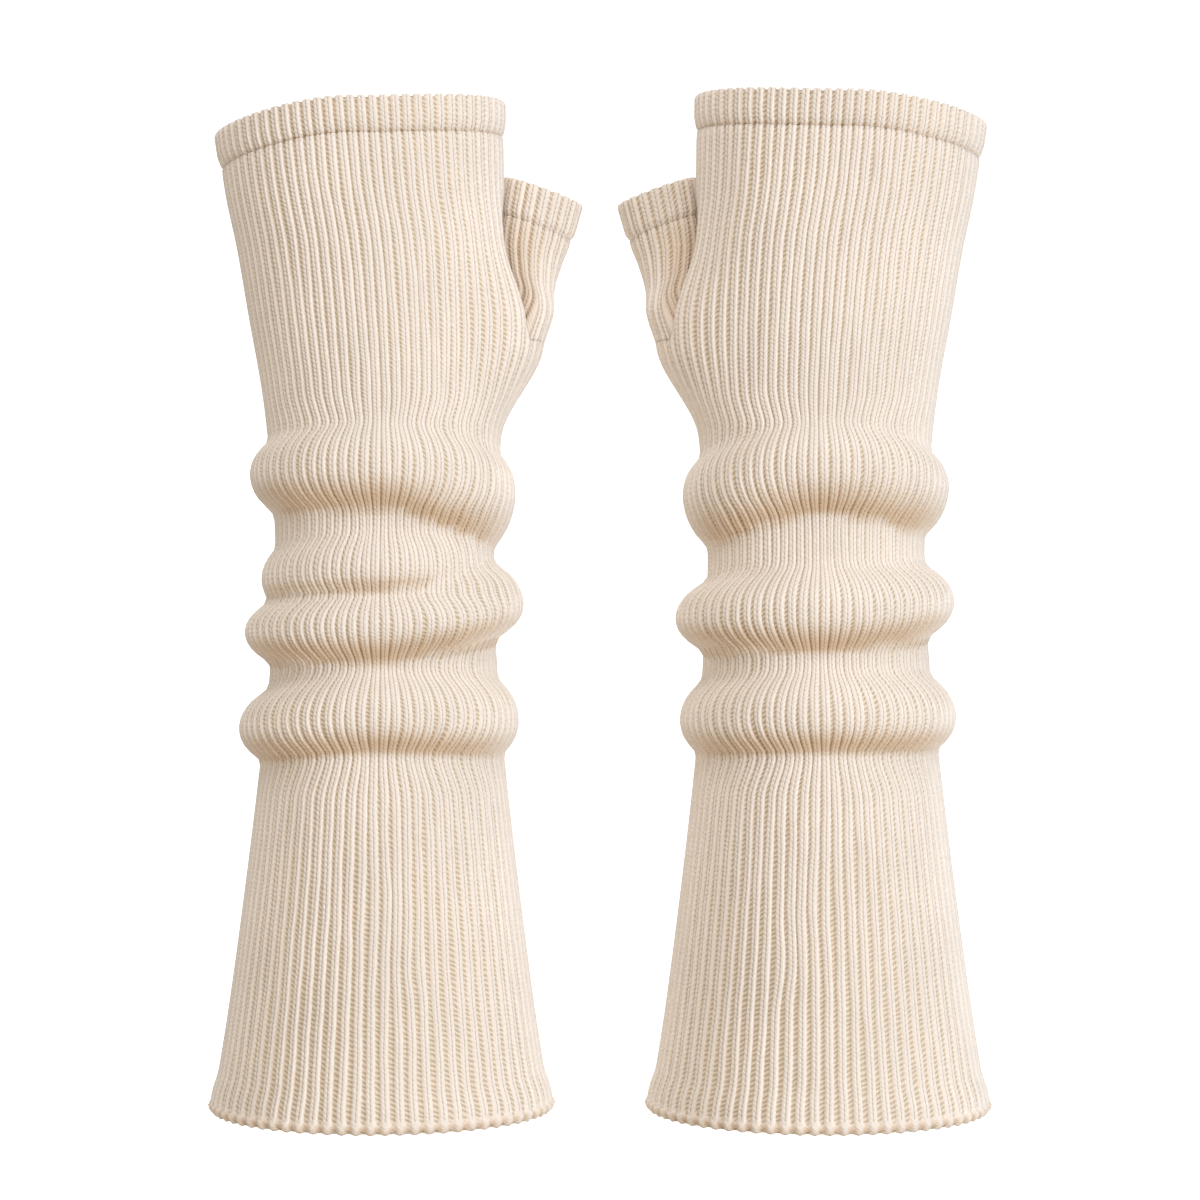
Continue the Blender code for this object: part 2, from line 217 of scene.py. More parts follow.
# Sizes of the knit's patterns. Stitches sway up and down over about three courses, and the yarn's tone drifts
# over a few centimetres. A fibre is far too fine to show, so it is drawn as coarse as it needs to be.
STITCH_SWAY = 4.76 * MM
TONE_DRIFT = 29.4 * MM
FIBRE = 0.667 * MM
STITCH_RELIEF = 0.34 * MM

# Rows of the fine wall between the heights that the folds, the seam and the crotch fix.
ROW_PITCH = 2.1
HAND_ROW_PITCH = ROW_PITCH * 1.15
INNER_ROW_PITCH = 7.5


def linear(hex_colour):
    """A linear colour from an sRGB hex value."""
    channels = [int(hex_colour[k : k + 2], 16) / 255 for k in (1, 3, 5)]
    return tuple(c / 12.92 if c <= 0.04045 else ((c + 0.055) / 1.055) ** 2.4 for c in channels)


def smooth(t):
    """0 to 1 with a level start and end."""
    t = np.clip(t, 0.0, 1.0)
    return t * t * (3 - 2 * t)


def mix(a, b, t):
    return a + (b - a) * t


def unit(vectors):
    return vectors / np.linalg.norm(vectors, axis=-1, keepdims=True)


def quarters(values, share):
    """Four quarter values at any share, eased from quarter to quarter."""
    place = share % 1.0 * 4
    quarter = np.floor(place).astype(int) % 4
    values = np.array(values)
    return mix(values[quarter], values[(quarter + 1) % 4], smooth(place - np.floor(place)))


def through(heights, table, height):
    """A smooth curve through a table's rows, each column at once."""
    last = len(heights) - 1
    k = np.clip(np.searchsorted(heights, height, side="left"), 1, last)
    low, high = heights[k - 1], heights[k]
    before, after = np.maximum(k - 2, 0), np.minimum(k + 1, last)
    span = high - low
    t = ((height - low) / span)[..., None]
    first, second = table[k - 1], table[k]
    slope_low = (second - table[before]) * (span / (high - heights[before]))[..., None]
    slope_high = (table[after] - first) * (span / (heights[after] - low))[..., None]
    return (
        first * (2 * t**3 - 3 * t**2 + 1)
        + slope_low * (t**3 - 2 * t**2 + t)
        + second * (3 * t**2 - 2 * t**3)
        + slope_high * (t**3 - t**2)
    )


def fold_swell(folds, share, height):
    """How far the folds push the wall out, softened where they run out."""
    total = np.zeros_like(height)
    for crest, swell, up, down in folds:
        amount = quarters(swell, share)
        for nudge, weight in ((-FOOT_SOFTNESS, 0.25), (0.0, 0.5), (FOOT_SOFTNESS, 0.25)):
            above = height + nudge - quarters(crest, share)
            reach = np.where(above > 0, quarters(up, share), quarters(down, share))
            full = np.clip(1 - (above / reach) ** 2, 0.0, 1.0) ** FOLD_ROUNDNESS
            total += weight * amount * full
    return total


def gusset_swell(share, height):
    """How far the gusset pushes the wall out towards the thumb."""
    aside = np.clip(np.abs(share % 1.0 - GUSSET_SHARE) / GUSSET_SPREAD, 0.0, 1.0)
    rise = smooth((height - GUSSET_BOTTOM) / (THUMB_SEAM - GUSSET_BOTTOM))
    fall = smooth((GUSSET_TOP - height) / (GUSSET_TOP - CROTCH))
    return GUSSET_SWELL * np.cos(math.pi / 2 * aside) ** 2 * np.minimum(rise, fall)


def gather(folds, height):
    """How far the ribs crowd to the front and back: most in the tight rounds between folds."""
    settings = bpy.context.scene.arm_warmer_knit
    front = np.full_like(height, 0.25)
    tight = smooth((height - GATHER_BOTTOM) / 14) * smooth((GATHER_TOP - height) / 16)
    open_out = np.clip(fold_swell(folds, front, height) / OPEN_SWELL, 0.0, 1.0)
    return settings.gather * tight * (1 - open_out)


def open_wall(folds, share, height):
    """A point of the sleeve's ridge surface, before the thumb hole pinches it."""
    section = through(SLEEVE_SECTIONS[:, 0], SLEEVE_SECTIONS[:, 1:], height)
    centre, half_width, half_depth = section[..., 0], section[..., 1], section[..., 2]
    wide, deep = half_width**2, half_depth**2
    turn = 2 * math.pi * share
    evened = (wide - deep) / (wide + deep) / 4
    angle = turn + (evened + gather(folds, height)) * np.sin(2 * turn)
    across, along = np.cos(angle), -np.sin(angle)
    normal = unit(np.stack((across * half_depth, along * half_width, np.zeros_like(across)), -1))
    rim = np.stack((centre + half_width * across, half_depth * along, height), -1)
    swell = fold_swell(folds, share, height) + gusset_swell(share, height)
    return rim + normal * swell[..., None]


def across_hole(share):
    """0 at the front end of the thumb hole to 1 at its back end."""
    return np.clip((share % 1.0 - HOLE_START) / (HOLE_END - HOLE_START), 0.0, 1.0)


def crotch_height(share):
    """The height of the crotch, which is the hand side of the thumb hole."""
    return CROTCH + CROTCH_RISE * np.sin(math.pi * across_hole(share))


def sleeve_wall(folds, share, height):
    """A point of the sleeve's ridge surface. Beside the thumb it is drawn in from the crotch up."""
    point = open_wall(folds, share, height)
    across = across_hole(share)
    start, end = np.full_like(share, HOLE_START), np.full_like(share, HOLE_END)
    chord = mix(open_wall(folds, start, height), open_wall(folds, end, height), across[..., None])
    chord[..., 0] += CROTCH_DENT * np.sin(math.pi * across)
    above = (height - CROTCH - CROTCH_RISE) / (PINCH_TOP - CROTCH - CROTCH_RISE)
    pinched = (height >= CROTCH) & (across > 0) & (across < 1)
    return np.where(pinched[..., None], mix(chord, point, smooth(above)[..., None]), point)


def sleeve_normal(folds, share, height):
    """The wall's outward direction, from its slope each way."""
    aside, rise = 0.25 / RIBS, 0.4
    over = sleeve_wall(folds, share + aside, height) - sleeve_wall(folds, share - aside, height)
    up = sleeve_wall(folds, share, height + rise) - sleeve_wall(folds, share, height - rise)
    return unit(np.cross(up, over))


def subdivided(marks, pitch):
    """Heights between marks, each span cut in equal steps of about pitch on average."""
    rows = [marks[0]]
    for low, high in zip(marks, marks[1:]):
        steps = max(1, round(float(np.mean(high - low)) / pitch))
        rows += [mix(low, high, k / steps) for k in range(1, steps + 1)]
    return rows


def sleeve_heights(folds, finger_end, share):
    """Heights that fix the sleeve's rows: from its edge to the thumb's seam, and from the crotch up."""
    level = np.ones_like(share)
    marks = [quarters(folds[0][0], share) - quarters(folds[0][3], share)]
    for low, high in zip(folds, folds[1:]):
        first, second = quarters(low[0], share), quarters(high[0], share)
        marks += [first, (first + second) / 2]
    last = quarters(folds[-1][0], share)
    marks += [last, last + quarters(folds[-1][2], share)]
    low_marks = [level * (FOREARM_EDGE + h) for h in (0.0, 0.8, 1.6, 2.4, EDGE_KICK, HEM_FLARE)]
    low_marks += [level * MID_FOREARM, *marks, level * THUMB_SEAM]
    top = quarters(finger_end, share) - HAND_BAND_HEIGHT - SEAM_GAP
    high_marks = [crotch_height(share), mix(CROTCH, top, MID_HAND), top]
    return low_marks, high_marks


def rib_shares(ribs):
    """Shares round a section, each point's place counted in ribs, and how far it sinks."""
    rib = np.repeat(np.arange(ribs + 1), RIB_POINTS)[: ribs * RIB_POINTS + 1]
    phase = np.tile(RIB_PHASES, ribs + 1)[: ribs * RIB_POINTS + 1]
    return (rib + phase - 0.5) / ribs, rib + phase, np.tile(RIB_SINK, ribs + 1)[: ribs * RIB_POINTS + 1]


def opened(share, pitch, ribs):
    """Moves a rib's points so that its groove is open where the rib is wide and shut where it is narrow."""
    count = share.shape[-1]
    phase = np.tile(RIB_PHASES, ribs + 1)[:count]
    tight, wide = np.tile(TIGHT_PHASES, ribs + 1)[:count], np.tile(OPEN_PHASES, ribs + 1)[:count]
    return share + (mix(tight, wide, smooth((pitch - TIGHT_RIB) / (OPEN_RIB - TIGHT_RIB))) - phase) / ribs


def crowding(share, height):
    """How far ribs crowd aside in a few places, in ribs."""
    total = np.zeros_like(height)
    for place, level, width, reach, amount in CROWDED:
        aside = (share - place) * RIBS / width
        total += amount * np.exp(-(aside**2) - ((height - level) / reach) ** 2) * np.cos(1.3 * aside)
    return total


def uneven(seed, ribs, height):
    """Small wanderings of each rib, as hand wear leaves them: a part of a rib's width, for each row."""
    dice = np.random.default_rng(seed)
    rib_of_point = np.arange(height.shape[1]) // RIB_POINTS % ribs
    total = np.zeros_like(height)
    for length, size in ((70.0, 0.035), (31.0, 0.02), (14.0, 0.012)):
        start = dice.uniform(0, 2 * math.pi, ribs)[rib_of_point]
        total += size * np.sin(2 * math.pi * height / length + start)
    return total


def closed_wall(name, rows, counts, side, painted_shade, hole=None, foot_sharp=False):
    """One closed wall from a grid: its rows run up the outside, over the rim, down the inside and under.

    rows holds points by row and column, counts the ribs and courses there, the grid after side how much
    painted shade each point gets, and hole the thumb hole's first and last columns with the outer and inner
    row below.
    With foot_sharp the first row is a crisp edge, as where a piece is sewn flush to another.
    """
    points = rows * MM
    points[..., 0] *= side
    rows_count, columns = points.shape[:2]
    bm = bmesh.new()
    uv = bm.loops.layers.uv.new("knit")
    bmesh.ops.create_grid(bm, x_segments=columns - 1, y_segments=rows_count - 1, size=0.5)
    # Each point carries how much painted shade the knit material multiplies into its colour
    painted_shade_layer = bm.verts.layers.float.new("painted_shade")
    bm.verts.ensure_lookup_table()
    for vert, point, painted_shade_amount in zip(bm.verts, points.reshape(-1, 3), painted_shade.reshape(-1)):
        vert.co = point
        vert[painted_shade_layer] = painted_shade_amount
    for edge in bm.edges:
        edge.smooth = not (foot_sharp and all(v.index < columns for v in edge.verts))
    flat_counts = counts.reshape(-1, 2)
    for face in bm.faces:
        for loop in face.loops:
            loop[uv].uv = flat_counts[loop.vert.index]
    if hole is not None:
        first, last, outer_row, inner_row = hole
        bm.faces.ensure_lookup_table()
        faces = [
            bm.faces[row * (columns - 1) + column]
            for row in (outer_row, inner_row)
            for column in range(first, last)
        ]
        bmesh.ops.delete(bm, geom=faces, context="FACES")
    edge_verts = {v for e in bm.edges if e.is_boundary for v in e.verts}
    bmesh.ops.remove_doubles(bm, verts=list(edge_verts), dist=1e-6)
    open_edges = [e for e in bm.edges if e.is_boundary]
    for edge in open_edges:
        edge.smooth = False
    if open_edges:
        bmesh.ops.bridge_loops(bm, edges=open_edges)
    bmesh.ops.recalc_face_normals(bm, faces=bm.faces)
    if any(e.is_boundary for e in bm.edges):
        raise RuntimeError(f"{name} has an open edge")
    mesh = bpy.data.meshes.new(name)
    bm.to_mesh(mesh)
    bm.free()
    mesh.shade_smooth()
    obj = bpy.data.objects.new(name, mesh)
    bpy.context.scene.collection.objects.link(obj)
    return obj


def courses(outer):
    """How many courses up each row lies, from the usual length of cloth round by round."""
    knit = bpy.context.scene.arm_warmer_knit
    steps = np.median(np.linalg.norm(np.diff(outer, axis=0), axis=-1), axis=1)
    return np.concatenate(([0.0], np.cumsum(steps))) / (knit.course / MM)


def counted(points, across, first_course=0.0):
    """Rib and course counts for every point of a wall."""
    up = courses(points) + first_course
    return np.stack(np.broadcast_arrays(across[None, :], up[:, None]), -1).astype(float)


def dress(piece, name):
    """Ties a finished piece to the part: its body, the solid it stands for and its finish."""
    piece.data.materials.append(knit_material())
    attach(piece, "root")
    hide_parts(name)
    return piece


def painted_shade_amount(normal):
    """How much painted shade the cloth gets, 0 to 1: on a fold's underside, and less so at the sides."""
    underside = smooth((-normal[..., 2] - 0.05) / 0.7)
    return 0.95 * underside * (0.15 + 0.85 * smooth(np.abs(normal[..., 1]) / 0.85))


def rib_pitch(folds, share, height):
    """How wide the rib at each point stands."""
    pitch = np.linalg.norm(np.diff(sleeve_wall(folds, share, height), axis=1), axis=-1)
    pitch = np.add.reduceat(pitch, np.arange(0, pitch.shape[1], RIB_POINTS), axis=1)
    pitch = np.repeat(pitch, RIB_POINTS, axis=1)
    return np.concatenate((pitch, pitch[:, :1]), axis=1)


def make_sleeve(warmer):
    """The sleeve: a ribbed tube with a cast-on edge, wrist folds and a thumb hole."""
    name, side, finger_end, folds, seed = warmer
    rib_depth = bpy.context.scene.arm_warmer_knit.rib_depth / MM
    share, across, sink = rib_shares(RIBS)
    low_marks, high_marks = sleeve_heights(folds, finger_end, share)
    low, high = subdivided(low_marks, ROW_PITCH), subdivided(high_marks, HAND_ROW_PITCH)
    height = np.array(low + high)
    share_grid = np.broadcast_to(share, height.shape)
    wander = uneven(seed, RIBS, height) / RIBS
    hole_calm = smooth(np.abs(share - (HOLE_START + HOLE_END) / 2) / 0.1 - 0.9)
    edge_calm = smooth((height - FOREARM_EDGE) / EDGE_CALM) * smooth((height[-1] - height) / EDGE_CALM)
    wander += crowding(share_grid, height) / RIBS
    wandering = share_grid + wander * np.where(height > 60, hole_calm, 1.0) * edge_calm
    beside_hole = (share > HOLE_START - 0.02) & (share < HOLE_END + 0.02) & (height > 78)
    pitch = np.where(beside_hole, HOLE_RIB, rib_pitch(folds, wandering, height))
    wandering = opened(wandering, pitch, RIBS)
    ridge = sleeve_wall(folds, wandering, height)
    normal = sleeve_normal(folds, wandering, height)
    slack = smooth((pitch - TIGHT_RIB) / (OPEN_RIB - TIGHT_RIB))
    flattened = 1 - STRETCHED_FLAT * smooth(normal[..., 2] / 0.5)
    depth = rib_depth * sink * mix(TIGHT_DEPTH, 1.0, slack) * flattened
    # The cast-on edge ends each rib in a bead, round across and along, with a notch on either side
    bead = np.clip(1 - (height - FOREARM_EDGE) / EDGE_KICK, 0.0, 1.0)
    round_across = np.cos(math.pi * (across % 1.0 - 0.5))
    ball = EDGE_BEAD * (round_across * np.sin(math.pi * (0.12 + 0.88 * bead)) - 0.55)
    proud = mix(-depth, ball, smooth(bead * 2.2))
    proud -= SLEEVE_GRIP * smooth(1 - (height[-1] - height) / 2.6)
    outer = ridge + normal * proud[..., None]
    outer[..., 2] += EDGE_BEAD * (1 - round_across) * bead**2
    # Painted shade on the folds' undersides below the gusset, and in the notches between the cast-on beads
    painted_shade = painted_shade_amount(normal) * smooth((GUSSET_BOTTOM + 6 - height) / 8)
    painted_shade = np.maximum(painted_shade, smooth(bead * 2) * (1 - 0.9 * round_across))
    rim = ridge[-1] - normal[-1] * (WALL / 2)
    inner_high, inner_low = (subdivided(marks, INNER_ROW_PITCH)[::-1] for marks in (high_marks, low_marks))
    inner_height = np.array(inner_high + inner_low)
    inner_share = np.broadcast_to(share, inner_height.shape)
    inner = sleeve_wall(folds, inner_share, inner_height)
    inner = inner - sleeve_normal(folds, inner_share, inner_height) * WALL
    under = 0.5 * (outer[0] + inner[-1])
    under[:, 2] -= EDGE_ROLL
    wall = np.concatenate((outer, [rim], inner, [under], outer[:1]))
    # The rim, the inner wall and the underside get an even painted shade
    painted_shade = np.concatenate((painted_shade, np.full((len(wall) - len(painted_shade), len(share)), INSIDE_PAINTED_SHADE)))
    inset = HOLE_MARGIN * (HOLE_END - HOLE_START)
    first, last = (int(np.argmin(np.abs(share - end))) for end in (HOLE_START + inset, HOLE_END - inset))
    hole = (first, last, len(low) - 1, len(outer) + len(inner_high))
    piece = closed_wall(f"{name}_ribbed_sleeve", wall, counted(wall, across), side, painted_shade, hole)
    return dress(piece, f"{name}_sleeve")


def band_profile(height, proud, rows):
    """A turned band's section from its foot over the rim: steps down from the rim, and out from the ridge."""
    steps = [(height + 0.9, -1.7), (height + 0.3, -0.95), (height - 0.4, -0.45), (height - 1.3, 0.1)]
    steps += [(mix(height - 2.4, BAND_ROLL, t), 0.4 + (proud - 0.4) * min(1.0, t * 4)) for t in rows]
    middle = proud - BAND_WALL / 2
    half = BAND_WALL / 2
    for turn in (0.25, 0.5, 0.75):
        angle = math.pi * turn
        steps.append((BAND_ROLL * (1 - math.sin(angle)), middle + half * math.cos(angle)))
    inner = proud - BAND_WALL
    steps += [(BAND_ROLL, inner), (height * 0.5, inner), (height + 0.2, inner)]
    return steps


def outside(out, proud):
    """Whether a point of a band's section lies on its ribbed side, and not on its plain inner side."""
    return out > proud - BAND_WALL + 0.01


def make_finger_band(warmer):
    """The turned band at the finger end: two layers of the same knit, rolled over at the rim."""
    name, side, finger_end, folds, _ = warmer
    rib_depth = bpy.context.scene.arm_warmer_knit.rib_depth / MM
    share, across, sink = rib_shares(RIBS)
    profile = band_profile(HAND_BAND_HEIGHT, BAND_PROUD, np.linspace(0, 1, 8))
    top = quarters(finger_end, share)
    rows = []
    for down, out in profile:
        height = top - down
        rim = np.clip(1 - down / BAND_ROLL, 0.0, 1.0)
        sunk = sink * rib_depth * (BAND_RIB if outside(out, BAND_PROUD) else 0.0)
        point = sleeve_wall(folds, share, height)
        point += sleeve_normal(folds, share, height) * (out - sunk * (1 - 0.6 * rim))[:, None]
        point[:, 2] -= sink * BAND_NOTCH * rim
        rows.append(point)
    wall = np.array(rows + rows[:1])
    # Painted shade on the rows at the band's foot, where it sits over the sleeve
    painted_shade = [FOOT_PAINTED_SHADE if down > HAND_BAND_HEIGHT - 1 else 0.0 for down, _ in profile + profile[:1]]
    painted_shade = np.repeat(np.array(painted_shade)[:, None], len(share), axis=1)
    piece = closed_wall(f"{name}_turned_finger_band", wall, counted(wall, across, PLAIN_COURSES), side, painted_shade)
    return dress(piece, f"{name}_finger_band")


def thumb_foot(folds, along):
    """The thumb's lowest ring, points and outward directions: out along the gusset, back by the crotch."""
    place = along % 1.0
    out = place < 0.5
    way = np.where(out, place * 2, 2 - place * 2)
    share = mix(HOLE_START, HOLE_END, mix(HOLE_MARGIN, 1 - HOLE_MARGIN, way))
    level = np.full_like(share, THUMB_SEAM)
    gusset = sleeve_wall(folds, share, level)
    gusset_normal = sleeve_normal(folds, share, level)
    crotch = crotch_height(share)
    hand_normal = sleeve_normal(folds, share, crotch + CROTCH_ROLL)
    hand = sleeve_wall(folds, share, crotch) + hand_normal * SEAM_GAP
    points = np.where(out[:, None], gusset, hand)
    normals = np.where(out[:, None], gusset_normal, -hand_normal)
    ring = normals[:-1]
    softened = sum(np.roll(ring, k, axis=0) * w for k, w in ((-6, 1), (-3, 2), (0, 3), (3, 2), (6, 1)))
    return points, unit(np.concatenate((softened, softened[:1])))


def thumb_column(folds, along, places):
    """Points and outward directions up the thumb. A place counts sections: 0 is the foot, 1 the first one."""
    foot, foot_normals = thumb_foot(folds, along)
    centre_of_foot = foot[:-1].mean(axis=0)
    rings, ring_normals = [foot], [foot_normals]
    for height, centre, back, half_width, half_depth, lean, oval, start in THUMB_SECTIONS:
        angle = math.radians(start) - 2 * math.pi * along
        offset = np.stack((half_width * np.cos(angle), half_depth * np.sin(angle), np.zeros_like(angle)), -1)
        offset[:, 2] = offset[:, 0] * lean
        outward = np.stack((np.cos(angle) * half_depth, np.sin(angle) * half_width, np.zeros_like(angle)), -1)
        rings.append(np.array((centre, back, height)) + mix(foot - centre_of_foot, offset, oval))
        ring_normals.append(unit(mix(foot_normals, unit(outward), oval)))
    marks = np.arange(len(rings), dtype=float)
    table = np.array(rings).reshape(len(rings), -1)
    normal_table = np.array(ring_normals).reshape(len(rings), -1)
    places = np.asarray(places, float)
    points = through(marks, table, places).reshape(len(places), -1, 3)
    return points, unit(through(marks, normal_table, places).reshape(len(places), -1, 3))


def make_thumb(warmer):
    """The thumb: a ribbed tube from the hole's edge to its own band."""
    name, side, _, folds, seed = warmer
    rib_depth = bpy.context.scene.arm_warmer_knit.rib_depth / MM
    along, across, sink = rib_shares(THUMB_RIBS)
    places = np.concatenate((np.linspace(-0.02, 1, 10), np.linspace(1, THUMB_BAND_SECTION + 1, 20)[1:]))
    rows = np.repeat(places[:, None] * THUMB_SECTION_RISE, len(along), axis=1)
    wander = uneven(seed + THUMB_SEED_STEP, THUMB_RIBS, rows) / THUMB_RIBS
    points, normals = thumb_column(folds, along, places)
    sideways = np.cross(normals, np.gradient(points, axis=0))
    sideways = unit(sideways) * (wander * 50)[..., None]
    points = points + sideways * smooth(places / 2)[:, None, None]
    grip = THUMB_GRIP * smooth(1 - (THUMB_BAND_SECTION + 1 - places) / 0.3)
    outer = points - normals * (rib_depth * THUMB_RIB * sink + grip[:, None])[..., None]
    inner_places = np.linspace(THUMB_BAND_SECTION + 1, 0, 7)
    inner, inner_normals = thumb_column(folds, along, inner_places)
    inner = inner - inner_normals * WALL
    wall = np.concatenate((outer, inner, outer[:1]))
    # Painted shade on the thumb's side that faces the hand, fading towards its band, and on its inner wall
    beside_hand = smooth(normals[..., 0] + 0.75)
    thumb_painted_shade = THUMB_PAINTED_SHADE * beside_hand * smooth((THUMB_BAND_SECTION + 2.5 - places[:, None]) / 3)
    painted_shade = np.concatenate((thumb_painted_shade, np.full((len(inner) + 1, len(along)), INSIDE_PAINTED_SHADE)))
    piece = closed_wall(
        f"{name}_ribbed_thumb", wall, counted(wall, across, PLAIN_COURSES), side, painted_shade, foot_sharp=True
    )
    return dress(piece, f"{name}_thumb")


def make_thumb_band(warmer):
    """The turned band at the thumb's tip."""
    name, side, _, folds, _ = warmer
    rib_depth = bpy.context.scene.arm_warmer_knit.rib_depth / MM
    along, across, sink = rib_shares(THUMB_RIBS)
    span = THUMB_SECTIONS[-1][0] - THUMB_SECTIONS[THUMB_BAND_SECTION][0]
    rows = []
    for down, out in band_profile(span, THUMB_BAND_PROUD, np.linspace(0, 1, 8)):
        place = THUMB_BAND_SECTION + 1 + (span - down) / span
        points, normals = thumb_column(folds, along, [place])
        rim = max(0.0, 1 - down / BAND_ROLL)
        sunk = sink * rib_depth * (THUMB_BAND_RIB if outside(out, THUMB_BAND_PROUD) else 0.0)
        point = points[0] + normals[0] * (out - sunk * (1 - 0.6 * rim))[:, None]
        point[:, 2] -= sink * THUMB_BAND_NOTCH * rim
        rows.append(point)
    wall = np.array(rows + rows[:1])
    painted_shade = np.zeros(wall.shape[:2])
    piece = closed_wall(f"{name}_turned_thumb_band", wall, counted(wall, across, PLAIN_COURSES), side, painted_shade)
    return dress(piece, f"{name}_thumb_band")


def add_node(tree, kind, settings=(), links=()):
    """A node with its settings, where a socket's value is set by name, and its inputs linked."""
    node = tree.nodes.new(kind)
    for key, value in dict(settings).items():
        if isinstance(key, str) and key not in node.inputs:
            setattr(node, key, value)
        else:
            node.inputs[key].default_value = value
    for key, source in dict(links).items():
        tree.links.new(source, node.inputs[key])
    return node


def set_ramp(node, stops):
    """Gives a colour ramp its stops."""
    elements = node.color_ramp.elements
    while len(elements) > 1:
        elements.remove(elements[-1])
    for k, (place, colour) in enumerate(stops):
        stop = elements[0] if k == 0 else elements.new(place)
        stop.position = place
        stop.color = (*colour, 1.0)
    return node


def knit_material():
    """Cream wool and cotton yarn, knitted two by one rib.

    The knit shows as paired bright wales with a fine crease between, and a groove of slanting purl bars. The
    tan of the groove and the crease, the darker stitch notches and the warm tan under folds are painted
    shade.
    """
    name = "cream_two_by_one_rib_knit"
    if name in bpy.data.materials:
        return bpy.data.materials[name]
    knit = bpy.context.scene.arm_warmer_knit
    material = bpy.data.materials.new(name)
    material.use_nodes = True
    tree = material.node_tree
    shader = tree.nodes["Principled BSDF"]
    math_node = "ShaderNodeMath"
    uv = add_node(tree, "ShaderNodeUVMap", {"uv_map": "knit"})
    split = add_node(tree, "ShaderNodeSeparateXYZ", links={"Vector": uv.outputs["UV"]})
    rib, course = split.outputs["X"], split.outputs["Y"]
    # 0 in the middle of a groove, 1 on the crease between the two wales
    fold = add_node(tree, math_node, {"operation": "PINGPONG", 1: 0.5}, {0: rib})
    from_groove = add_node(tree, math_node, {"operation": "MULTIPLY", 1: 2.0}, {0: fold.outputs[0]})
    # 1 on the cast-on beads along the forearm edge, where groove and crease run out
    bead = add_node(
        tree,
        "ShaderNodeMapRange",
        {"From Min": 1.5, "From Max": 2.5, "To Min": 1.0, "To Max": 0.0},
        {"Value": course},
    )
    spread = add_node(
        tree, math_node, {"operation": "MULTIPLY_ADD", 1: 0.5, 2: 0.28}, {0: from_groove.outputs[0]}
    )
    tone_place = add_node(
        tree,
        "ShaderNodeMix",
        {"data_type": "FLOAT"},
        {0: bead.outputs["Result"], 2: from_groove.outputs[0], 3: spread.outputs[0]},
    )
    tones = add_node(tree, "ShaderNodeValToRGB", links={"Fac": tone_place.outputs[0]})
    # Painted shade: the groove and the crease get tan colours darker than the wales, for the shade in these
    # recesses
    groove, wale, crease = knit.groove_shade_colour, knit.wale_colour, knit.crease_shade_colour
    set_ramp(tones, ((0.0, groove), (0.18, groove), (0.32, wale), (0.86, wale), (0.97, crease)))
    # Stitches: a shallow V on each pair of wales, and beads that slant across the groove, none quite level
    place = add_node(tree, "ShaderNodeTexCoord")
    at = {"Vector": place.outputs["Object"]}
    sway = add_node(tree, "ShaderNodeTexNoise", {"Scale": 1 / STITCH_SWAY, "Detail": 1.0}, at)
    course = add_node(
        tree, math_node, {"operation": "MULTIPLY_ADD", 1: 1.1}, {0: sway.outputs["Fac"], 2: course}
    ).outputs[0]
    slant = add_node(
        tree, math_node, {"operation": "MULTIPLY_ADD", 1: 0.9}, {0: from_groove.outputs[0], 2: course}
    )
    turn = add_node(tree, math_node, {"operation": "MULTIPLY", 1: math.pi}, {0: slant.outputs[0]})
    wave = add_node(tree, math_node, {"operation": "SINE"}, {0: turn.outputs[0]})
    stitch = add_node(tree, math_node, {"operation": "ABSOLUTE"}, {0: wave.outputs[0]})
    bar_slant = add_node(tree, math_node, {"operation": "MULTIPLY_ADD", 1: 2.2}, {0: rib, 2: course})
    bar_turn = add_node(tree, math_node, {"operation": "MULTIPLY", 1: math.pi}, {0: bar_slant.outputs[0]})
    bar_wave = add_node(tree, math_node, {"operation": "SINE"}, {0: bar_turn.outputs[0]})
    bar = add_node(tree, math_node, {"operation": "ABSOLUTE"}, {0: bar_wave.outputs[0]})
    in_groove = add_node(
        tree,
        "ShaderNodeMapRange",
        {"From Min": 0.38, "From Max": 0.2, "To Min": 0.0, "To Max": 1.0},
        {"Value": tone_place.outputs[0]},
    )
    in_crease = add_node(
        tree,
        "ShaderNodeMapRange",
        {"From Min": 0.82, "From Max": 1.0, "To Min": 0.0, "To Max": 1.0},
        {"Value": tone_place.outputs[0]},
    )
    shallow = add_node(
        tree,
        "ShaderNodeMapRange",
        {"From Min": 0.0, "From Max": 1.0, "To Min": 0.52, "To Max": 1.0},
        {"Value": stitch.outputs[0]},
    )
    dotted = add_node(
        tree,
        "ShaderNodeMix",
        {"data_type": "FLOAT"},
        {0: in_crease.outputs["Result"], 2: shallow.outputs["Result"], 3: stitch.outputs[0]},
    )
    pattern = add_node(
        tree,
        "ShaderNodeMix",
        {"data_type": "FLOAT"},
        {0: in_groove.outputs["Result"], 2: dotted.outputs[0], 3: bar.outputs[0]},
    )
    # Yarn: soft drifts of tone and fine fibre
    drift = add_node(tree, "ShaderNodeTexNoise", {"Scale": 1 / TONE_DRIFT, "Detail": 3.0}, at)
    fibre = add_node(tree, "ShaderNodeTexNoise", {"Scale": 1 / FIBRE, "Detail": 2.0}, at)
